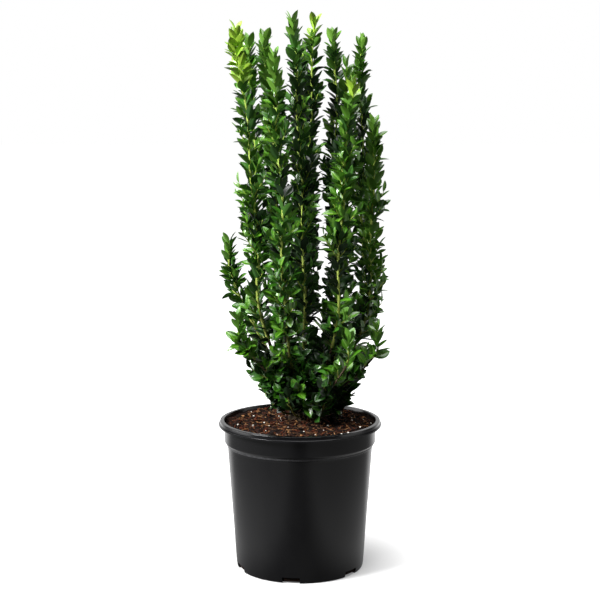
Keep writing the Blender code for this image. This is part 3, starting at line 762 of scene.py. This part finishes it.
# Live leaves. The upper side grows a smooth film of wax, which gives it a crisp pale sheen. The midrib and
# the underside have no film, so they are duller, and the underside is paler
sheens = {
    "upper": {"Roughness": 0.32, "IOR": 1.50, "Specular IOR Level": 1.0},
    "midrib": {"Roughness": 0.5},
    "under": {"Roughness": 0.6},
}
for number, (name, *colours) in enumerate(TINTS):
    dressed = [
        finish(f"{name}_{side}", {"Base Color": linear(colour), **sheen})
        for colour, (side, sheen) in zip(colours, sheens.items())
    ]
    of_tint = blades[fits & (tint == number)]
    for part, first_leaf in enumerate(range(0, len(of_tint), LEAVES_IN_A_PIECE)):
        some = of_tint[first_leaf : first_leaf + LEAVES_IN_A_PIECE]
        shape = some, copies_of(leaf_faces, len(some), some.shape[1])
        kinds = np.tile(BLADE_SIDES, (len(BLADE_ROWS) + 1) * len(some))
        piece(f"{name}_{part + 1}", shape, dressed, foliage, kinds, sharp=60.0)


# Materials with patterns, all on Object coordinates
def speckle(tree, mm, detail, squeeze=1.0):
    """Noise of 0 to 1 whose lumps are mm millimetres across, drawn out along Z by a squeeze under 1."""
    place = add(tree, "TexCoord", {}).outputs["Object"]
    put = add(tree, "Mapping", {"Vector": place, "Scale": (1.0, 1.0, squeeze)})
    noise = add(tree, "TexNoise", {"Vector": put, "Scale": 1000.0 / mm, "Detail": detail, "Roughness": 0.6})
    return noise.outputs["Fac"]


def surface(name, stops, pattern, roughness, relief, height, sockets=()):
    """A material whose colour is a ramp over one pattern, whose roughness runs between two values over the
    same pattern, and whose bump is another pattern, the relief, height metres high. Each pattern is the
    values that speckle takes."""
    material = finish(name, dict(sockets))
    tree = material.node_tree
    shade = speckle(tree, *pattern)
    ramp = add(tree, "ValToRGB", {"Fac": shade}, stops)
    gloss = add(tree, "MapRange", {"Value": shade, "To Min": roughness[0], "To Max": roughness[1]})
    bump = add(tree, "Bump", {"Height": speckle(tree, *relief), "Distance": height})
    feed(tree, tree.nodes["Principled BSDF"], {"Base Color": ramp, "Roughness": gloss, "Normal": bump})
    return material


# Old shrub wood: thin bark that splits lengthwise, so its fissures are 2 mm apart and 4 times as long
bark = surface(
    "shrub_bark", ((0.30, "#231a11"), (0.52, "#463724"), (0.70, "#685838")),
    pattern=(2.0, 4.0, 0.25), roughness=(0.75, 0.95),
    relief=(1.2, 3.0, 0.2), height=0.0006,
)
# Soft green bark of this year's shoots: faint ribs along the stem, yellower towards the tips, brown low down
green_shoot = surface(
    "green_shoot_bark", ((0.35, "#6a7a2c"), (0.65, "#b4c666")),
    pattern=(1.5, 3.0, 0.15), roughness=(0.40, 0.60),
    relief=(0.8, 2.0, 0.1), height=0.0002,
)
tree = green_shoot.node_tree
shader = tree.nodes["Principled BSDF"]
ribs = shader.inputs["Base Color"].links[0].from_socket
place = add(tree, "TexCoord", {}).outputs["Object"]
height = add(tree, "SeparateXYZ", {0: place}).outputs["Z"]
climb = add(tree, "MapRange", {"Value": height, "From Min": 0.21, "From Max": 0.70})
by_height = ((0.0, "#3d3519"), (0.20, "#7e7e36"), (0.50, "#a2b848"), (1.0, "#b2d04e"))
years = add(tree, "ValToRGB", {"Fac": climb}, by_height)
both = add(tree, "Mix", {0: 0.65, 6: ribs, 7: years}, data_type="RGBA")
feed(tree, shader, {"Base Color": both.outputs[2]})

# Stems: green above and woody below, and their side twigs
change_z = np.where(is_low, LOW_GREEN_FROM_Z, draw.uniform(*GREEN_FROM_Z, count))
along_stem = np.linspace(0.0, 1.0, STEM_RINGS)
for name, chosen, lowest, highest, radii, material in (
    ("woody_stems", np.arange(tall + low), leaf_z - 0.001, change_z, WOODY_STEM_RADII, bark),
    (
        "green_stems", np.arange(count), np.where(is_foot, leaf_z, change_z - 0.001),
        top_z - STEM_ENDS_BELOW_TOP, GREEN_STEM_RADII, green_shoot,
    ),
):
    z = between(lowest[chosen][:, None], highest[chosen][:, None], along_stem)
    path = stem_at(np.broadcast_to(chosen[:, None], z.shape), z)
    thick = np.where(is_low[chosen], LOW_STEM_SHARE, 1.0)[:, None]
    piece(name, tubes(path, between(*radii, along_stem) * thick, 8), [material], foliage)
share = np.broadcast_to(np.linspace(0.0, 1.0, 6), (len(twig_length), 6))
path = twig_at(np.arange(len(twig_length))[:, None], share)
piece("side_twigs", tubes(path, between(*TWIG_RADII, share), 6), [green_shoot], foliage)


# Boughs and stem base with the relief of bark
def bough_furrows(points):
    """Furrows as ripples of the radius, drawn out along the bough because the height counts for a third."""
    return BOUGH_FURROW_SHARE * ripple(points * [1.0, 1.0, 0.35], BOUGH_FURROW, seed=5)


bough_who = np.arange(tall + low)
end_z = leaf_z[bough_who] - GAP
along_bough = np.linspace(0.0, 1.0, BOUGH_RINGS)
z = between(BASE_TOP_Z - 0.003, end_z[:, None], along_bough)
path = stem_at(np.broadcast_to(bough_who[:, None], z.shape), z)
radii = np.where(is_low[bough_who, None], LOW_BOUGH_RADII, BOUGH_RADII)
shape = tubes(path, between(radii[:, :1], radii[:, 1:], along_bough), 14, bough_furrows)
piece("bough_wood", shape, [bark], boughs)
z = np.linspace(BASE_Z, BASE_TOP_Z, BASE_RINGS)
turn = math.tau * np.arange(BASE_STEPS) / BASE_STEPS
radius = base_radius(z[:, None], turn)
rings = np.stack(
    [FOOT[0] + radius * np.sin(turn), FOOT[1] - radius * np.cos(turn), z[:, None] + 0 * radius], -1
)
furrows = BASE_FURROW_DEPTH * ripple(rings * [1.0, 1.0, 0.3], BASE_FURROW, seed=6)
rings[..., :2] += furrows[..., None] * unit(rings[..., :2] - FOOT)
piece("stem_base_wood", closed(rings, BASE_Z, BASE_TOP_Z, FOOT), [bark], ["stem_base"])


# The pot
def wall_outer(z):
    """The pot's outer radius: a straight taper, a rounded step outwards, and an upright collar."""
    taper = FOOT_R + (STEP_R - FOOT_R) * z / STEP_Z
    step = STEP_R + (COLLAR_R - STEP_R) * eased((z - STEP_Z) / (COLLAR_FOOT_Z - STEP_Z))
    return np.where(z <= STEP_Z, taper, step)


def rounded(corners, steps=5):
    """A path of (r, z, rounding): each corner is cut back by its rounding and bridged by the curve that
    leaves along one side and arrives along the other."""
    corner = np.array(corners)
    path = [corner[:1, :2]]
    for before, here, after in zip(corner, corner[1:], corner[2:]):
        if here[2] == 0.0:
            path.append(here[None, :2])
            continue
        start, end = (here[:2] + unit(other[:2] - here[:2]) * here[2] for other in (before, after))
        t = np.linspace(0.0, 1.0, steps)[:, None]
        path.append(start * (1 - t) ** 2 + 2 * here[:2] * t * (1 - t) + end * t**2)
    return np.concatenate([*path, corner[-1:, :2]])


step_z = np.linspace(STEP_Z - 0.0005, COLLAR_FOOT_Z + 0.0005, 7)
outer = [(0.0, 0.0, 0.0), (FOOT_R - 0.0005, 0.0, 0.0016)]
outer += [(wall_outer(z), z, 0.0) for z in np.linspace(*TAPER_HEIGHTS, 12)]
outer += STEP_BEAD
outer += [(wall_outer(z), z, 0.0) for z in step_z[3:]]
# The collar and the hollow under the lip, the lip's lower ridge, groove and upper ridge, and the inside
outer += [
    (COLLAR_R, FLANGE_HOLLOW_Z - FLANGE_WALL, 0.0008),
    (COLLAR_R + FLANGE_WALL, FLANGE_HOLLOW_Z, 0.0008),
    (LIP_INNER_R, FLANGE_Z, 0.0006),
    (LIP_INNER_R, LIP_FOOT_Z, 0.0003),
    (FLANGE_R - 0.0001, LIP_FOOT_Z, 0.0002),
    (FLANGE_R, FLANGE_Z + 0.0002, 0.0003),
    (LIP_GROOVE_R, LIP_GROOVE_Z, 0.0),
    (RIM_ROLL_R + 0.0002, RIM_Z, 0.0005),
    (RIM_INNER_R, RIM_Z + 0.0003, 0.0002),
    (RIM_INNER_R - 0.0006, RIM_Z - 0.0016, 0.0008),
    (COLLAR_R - WALL, COLLAR_TOP_Z, 0.0030),
]
inner_z = (*step_z[::-1], *np.linspace(*TAPER_HEIGHTS[::-1], 8))
outer += [(wall_outer(z) - WALL, z, 0.0) for z in inner_z]
outer += [(wall_outer(FLOOR) - WALL, FLOOR, 0.0012), (0.0, FLOOR, 0.0)]
profile = rounded(outer)
path = profile[1:-1]
shape = closed(rings_of(*path.T, TURN_STEPS), profile[0, 1], profile[-1, 1])
# Polypropylene filled with carbon black, moulded against a satin tool: black, with a sheen that wavers over
# areas of about 45 mm, and a grain of 1 mm that is drawn coarser than the real 0.2 mm so that it shows
plastic = surface(
    "moulded_polypropylene", ((0.35, "#08080a"), (0.65, "#0f0f10")),
    pattern=(45.0, 3.0, 0.5), roughness=(0.18, 0.24),
    relief=(1.0, 2.0), height=0.000012, sockets={"IOR": 1.49},
)
# The same plastic in a pale grey: a painted highlight, the thin light line along the bead on the step
highlight_plastic = surface(
    "painted_highlight_polypropylene", ((0.35, "#262628"), (0.65, "#404042")),
    pattern=(6.0, 3.0), roughness=(0.25, 0.35),
    relief=(1.0, 2.0), height=0.000012, sockets={"IOR": 1.49},
)
middle = (path[1:] + path[:-1]) / 2
# Faces inside that band take the pale plastic, which is the painted highlight line on the step
low_corner, high_corner = zip(HIGHLIGHT_LINE_R, HIGHLIGHT_LINE_Z)
painted_line = ((middle > low_corner) & (middle < high_corner)).all(-1)
kinds = np.concatenate([np.repeat(painted_line, TURN_STEPS), np.zeros(2 * TURN_STEPS, bool)])
pot = piece("nursery_pot", shape, [plastic, highlight_plastic], ["pot"], kinds, sharp=50.0)

# The drain notches: boxes astride the foot of the wall, cut out and removed
halves = (DRAIN_WIDTH / 2, DRAIN_DEPTH / 2, DRAIN_HEIGHT)
x, y, z = (axis.reshape(-1) for axis in np.meshgrid(*([-half, half] for half in halves), indexing="ij"))
bearing = DRAIN_FIRST_BEARING + math.tau * np.arange(DRAIN_HOLES)[:, None] / DRAIN_HOLES
x, y = swung(x, y - FOOT_R, bearing)
corners = np.stack([x, y, z + 0 * bearing], -1).reshape(-1, 3)
box = np.array([[0, 1, 3, 2], [4, 6, 7, 5], [0, 4, 5, 1], [2, 3, 7, 6], [0, 2, 6, 4], [1, 5, 7, 3]])
cutter_mesh = bpy.data.meshes.new("drain_cutter")
cutter_mesh.from_pydata(corners.tolist(), [], copies_of([box], DRAIN_HOLES, 8)[0].tolist())
cutter = placed("drain_cutter", cutter_mesh)
cut = pot.modifiers.new("drain_notches", "BOOLEAN")
cut.operation = "DIFFERENCE"
cut.solver = "EXACT"
cut.object = cutter
bpy.context.view_layer.update()
notched = bpy.data.meshes.new_from_object(pot.evaluated_get(bpy.context.evaluated_depsgraph_get()))
pot.modifiers.clear()
pot.data = notched
bpy.data.objects.remove(cutter)
notched.set_sharp_from_angle(angle=math.radians(50.0))


# The soil: a bed with lumps, closed below
def bed_height(x, y):
    """Level in the middle and falling to the edge, with lumps, and heaped a little round the stem base."""
    away = np.hypot(x, y)
    level = between(SOIL_Z, SOIL_EDGE_Z, passed(away, SOIL_FLAT_R, SOIL_R))
    place = np.stack([x, y, 0.0 * x], -1)
    from_foot = np.hypot(x - FOOT[0], y - FOOT[1])
    heap = SOIL_HEAP * (1.0 - eased((from_foot - SOIL_HEAP_R) / SOIL_HEAP_WIDTH))
    return level + heap + SOIL_LUMP_HEIGHT * 0.6 * ripple(place, SOIL_LUMP, seed=7) - SOIL_SINK


bed_r = np.concatenate([np.linspace(0.0015, SOIL_R - 0.001, BED_RINGS), [SOIL_R]])
bed = rings_of(bed_r, 0.0 * bed_r, BED_STEPS)
bed[..., 2] = bed_height(bed[..., 0], bed[..., 1])
bed[..., 2] += SOIL_LUMP_HEIGHT * 0.25 * ripple(bed, SOIL_GRIT, seed=8)
bed = bed[::-1]
side_z = np.array([COLLAR_TOP_Z, COLLAR_FOOT_Z, STEP_Z, 0.10, FLOOR + GAP])
wall = rings_of(wall_outer(side_z) - WALL - GAP, side_z, BED_STEPS)
rings = np.concatenate([wall[::-1], bed])
# Damp peat and bark fines: nearly black where wet, red-brown where it has dried, in crumbs of 1 to 3 mm
soil_mix = surface(
    "damp_potting_mix", ((0.34, "#070302"), (0.52, "#170b06"), (0.72, "#341b0f")),
    pattern=(3.0, 5.0), roughness=(0.80, 1.0),
    relief=(1.2, 4.0), height=0.0012, sockets={"Specular IOR Level": 0.15},
)
shape = closed(rings, FLOOR + GAP, bed[-1, :, 2].mean())
piece("soil_bed", shape, [soil_mix], ["soil"])


def scattered(number, margin):
    """Places on the bed between the stem base and the pot's wall, even over its area."""
    r = np.sqrt(draw.uniform(0.0, (SOIL_R - margin) ** 2, 2 * number))
    turn = draw.uniform(0.0, math.tau, 2 * number)
    place = np.stack([r * np.cos(turn), r * np.sin(turn)], -1)
    place = place[np.linalg.norm(place - FOOT, axis=-1) > BASE_WAIST_R][:number]
    return np.concatenate([place, bed_height(*place.T)[:, None]], -1)


def crumbs(place, sizes, tilt, around, rings):
    """Closed rough lumps: rings of a squashed ball with every corner moved in or out by chance, tilted by up
    to tilt radians about two axes and turned any way about the third."""
    number = len(place)
    up = math.pi * (np.arange(rings) + 0.7) / (rings + 0.4) - math.pi / 2
    ball, faces = closed(rings_of(np.cos(up), np.sin(up), around), -1.0, 1.0)
    rough = ball * draw.uniform(*CRUMB_UNEVEN, (number, len(ball), 1)) * sizes[:, None]
    nod, roll, swing = (draw.uniform(-a, a, number)[:, None] for a in (tilt, tilt, math.pi))
    x, y, z = np.moveaxis(rough, -1, 0)
    y, z = swung(y, z, nod)
    z, x = swung(z, x, roll)
    x, y = swung(x, y, swing)
    return np.stack([x, y, z], -1) + place[:, None], copies_of(faces, number, len(ball))


# Composted pine bark, shredded: slivers that break along the grain, so fine dark lines 0.5 mm apart run over
# them, and each one weathers to its own brown, because the colour noise is as large as a chip. Each row is a
# name, the shaded and the lit colour, and how many there are
CHIPS = (
    ("dark_bark", ("#060301", "#1a0b05"), 800),
    ("red_bark", ("#1f0b04", "#5c2a11"), 620),
    ("tan_bark", ("#46280f", "#9b7048"), 260),
)
for name, (shade, light), number in CHIPS:
    sizes = np.stack([draw.uniform(*ends, number) for ends in CHIP_HALF_SIZES], -1)
    place = scattered(number, CHIP_MARGIN)
    place[:, 2] += draw.uniform(*CHIP_LIFTS, number)
    shape = crumbs(place, sizes, CHIP_TILT, around=6, rings=2)
    chip = surface(
        name, ((0.36, shade), (0.64, light)), pattern=(6.0, 4.0), roughness=(0.65, 0.90),
        relief=(0.5, 2.0), height=0.0003, sockets={"Specular IOR Level": 0.2},
    )
    piece(name, shape, [chip], ["soil"], sharp=25.0)
place = scattered(PERLITE_GRAINS, PERLITE_MARGIN)
place[:, 2] += PERLITE_LIFT
sizes = np.stack([draw.uniform(*PERLITE_HALF_SIZES, PERLITE_GRAINS)] * 3, -1)
shape = crumbs(place, sizes, PERLITE_TILT, around=6, rings=3)
# Perlite, volcanic glass that was popped by heat: chalky white foam with pits of about 0.4 mm
perlite = surface(
    "perlite", ((0.30, "#b9b2a2"), (0.55, "#f0ede4")), pattern=(0.6, 3.0), roughness=(0.75, 0.95),
    relief=(0.4, 2.0), height=0.0002,
)
piece("perlite_grains", shape, [perlite], ["soil"], sharp=30.0)
middle = scattered(COIR_FIBRES, COIR_MARGIN)
swing = draw.uniform(0.0, math.tau, len(middle))[:, None]
s = np.linspace(-1.0, 1.0, 7)
half = draw.uniform(*COIR_HALF_LENGTHS, len(middle))[:, None]
bow = draw.normal(0.0, COIR_BOW, len(middle))[:, None]
x, y = swung(s, bow * s**2, swing)
z = COIR_LIFT + half * draw.normal(0.0, COIR_SLOPE, len(middle))[:, None] * s
path = middle[:, None] + np.stack([half * x, half * y, z], -1)
shape = tubes(path, COIR_R * np.sqrt(1.02 - s**2) * np.ones((len(middle), 1)), 5)
# Coir, the fibre of coconut husk: matt strands that bleach from brown to straw along their length
fibre = surface(
    "coir_fibre", ((0.35, "#3f2410"), (0.65, "#7a5230")), pattern=(4.0, 2.0), roughness=(0.7, 0.9),
    relief=(0.4, 2.0), height=0.0001,
)
piece("coir_fibres", shape, [fibre], ["soil"])

# The camera
scene.view_settings.view_transform = "Standard"
lens = bpy.data.cameras.new("camera")
lens.lens = CAMERA_LENS_MM
lens.sensor_width = 36.0
camera = placed("camera", lens)
camera.location = CAMERA_PLACE
camera.rotation_euler = (math.radians(90.0) - CAMERA_TILT, 0.0, 0.0)
scene.camera = camera

# Soft light from the upper left: each lamp's name, its place, the height on the pot's axis that it faces, its
# size in metres and its power in watts
for name, place, aim_z, size, power in (
    ("key", (-2.1, -1.1, 1.9), 0.40, (1.1, 1.1), 190.0),
    ("left_wall", (-2.0, 0.1, 0.55), 0.40, (1.6, 0.9), 14.0),
    ("right_wall", (2.0, -0.4, 0.85), 0.35, (1.6, 1.5), 9.0),
    ("top", (0.2, -0.4, 2.45), 0.30, (2.2, 1.5), 58.0),
):
    lamp = bpy.data.lights.new(name, "AREA")
    lamp.shape = "RECTANGLE"
    lamp.size, lamp.size_y = size
    lamp.energy = power
    obj = placed(name, lamp)
    obj.location = place
    away = np.array([0.0, 0.0, aim_z]) - place
    turn_z = math.atan2(away[1], away[0]) - math.pi / 2
    obj.rotation_euler = (math.acos(-away[2] / np.linalg.norm(away)), 0.0, turn_z)

world = bpy.data.worlds.new("studio")
world.use_nodes = True
scene.world = world
tree = world.node_tree
# White to the camera, and dark to the rest but for the mirrored strip behind the object and near the horizon,
# which draws the pale ends of the pot's rim and collar
sight = add(tree, "LightPath", {})
aim = add(tree, "TexCoord", {}).outputs["Generated"]
aim = add(tree, "SeparateXYZ", {0: aim})
# Each row is what is measured, from where to where, and the strength at both
rear, level = (
    add(tree, "MapRange", dict(enumerate(row)), interpolation_type="SMOOTHSTEP")
    for row in ((aim.outputs["Y"], 0.60, 0.92, 0.0, 0.95), (aim.outputs["Z"], 0.28, 0.42, 1.0, 0.0))
)
rear = add(tree, "Math", {0: rear, 1: level}, operation="MULTIPLY")
mirrored = add(
    tree, "Math", {0: rear, 1: sight.outputs["Is Glossy Ray"], 2: 0.015}, operation="MULTIPLY_ADD"
)
strength = add(
    tree, "MapRange", {"Value": sight.outputs["Is Camera Ray"], "To Min": mirrored, "To Max": 1.0}
)
feed(tree, tree.nodes["Background"], {"Strength": strength, "Color": (1.0, 1.0, 1.0, 1.0)})

floor_mesh = bpy.data.meshes.new("floor")
floor_mesh.from_pydata([(-30, -30, 0), (30, -30, 0), (30, 30, 0), (-30, 30, 0)], [], [(0, 1, 2, 3)])
floor = placed("floor", floor_mesh)
floor.location.z = -FLOOR_BELOW_POT
# Seamless studio paper, rolled from uncoated white pulp: an even pale field with no mirror image. Its glow
# washes the ground out to white away from the pot, and the pot's wall mirrors it at the sides and behind
paper = finish("white_paper", {"Roughness": 0.9, "Specular IOR Level": 0.0})
tree = paper.node_tree
sight = add(tree, "LightPath", {})
grey = add(tree, "MapRange", {"Value": sight.outputs["Is Camera Ray"], "To Min": 0.03, "To Max": 0.62})
place = add(tree, "TexCoord", {}).outputs["Object"]
away = add(tree, "VectorMath", {0: place}, operation="LENGTH").outputs["Value"]
across = add(tree, "SeparateXYZ", {0: place}).outputs["X"]
heading = add(tree, "VectorMath", {0: place}, operation="NORMALIZE")
heading = add(tree, "SeparateXYZ", {0: heading}).outputs["Y"]
# Each row is how the glow goes, what is measured, from where to where, and the glow at both
left, right, behind, fade, far, wash = (
    add(tree, "MapRange", dict(enumerate(row)), interpolation_type=course)
    for course, *row in (
        ("SMOOTHSTEP", across, -0.03, -0.18, 0.08, 0.44),
        ("SMOOTHSTEP", across, 0.03, 0.18, 0.0, 0.36),
        ("SMOOTHSTEP", heading, 0.50, 0.85, 0.0, 0.85),
        ("LINEAR", away, 0.16, 0.60, 1.2, 0.40),
        ("LINEAR", away, 0.20, 0.90, 0.55, 1.40),
        ("LINEAR", away, 0.088, 0.22, 0.18, 1.0),
    )
)
sides = add(tree, "Math", {0: left, 1: right}, operation="ADD")
rear = add(tree, "Math", {0: behind, 1: far}, operation="MULTIPLY")
mirror = add(tree, "Math", {0: sides, 1: fade, 2: rear}, operation="MULTIPLY_ADD")
mirrored = add(
    tree, "MapRange", {"Value": sight.outputs["Is Glossy Ray"], "To Min": 0.04, "To Max": mirror}
)
glow = add(
    tree, "MapRange", {"Value": sight.outputs["Is Camera Ray"], "To Min": mirrored, "To Max": wash}
)
glowing = {"Base Color": grey, "Emission Strength": glow, "Emission Color": (1.0, 1.0, 1.0, 1.0)}
feed(tree, tree.nodes["Principled BSDF"], glowing)
floor_mesh.materials.append(paper)
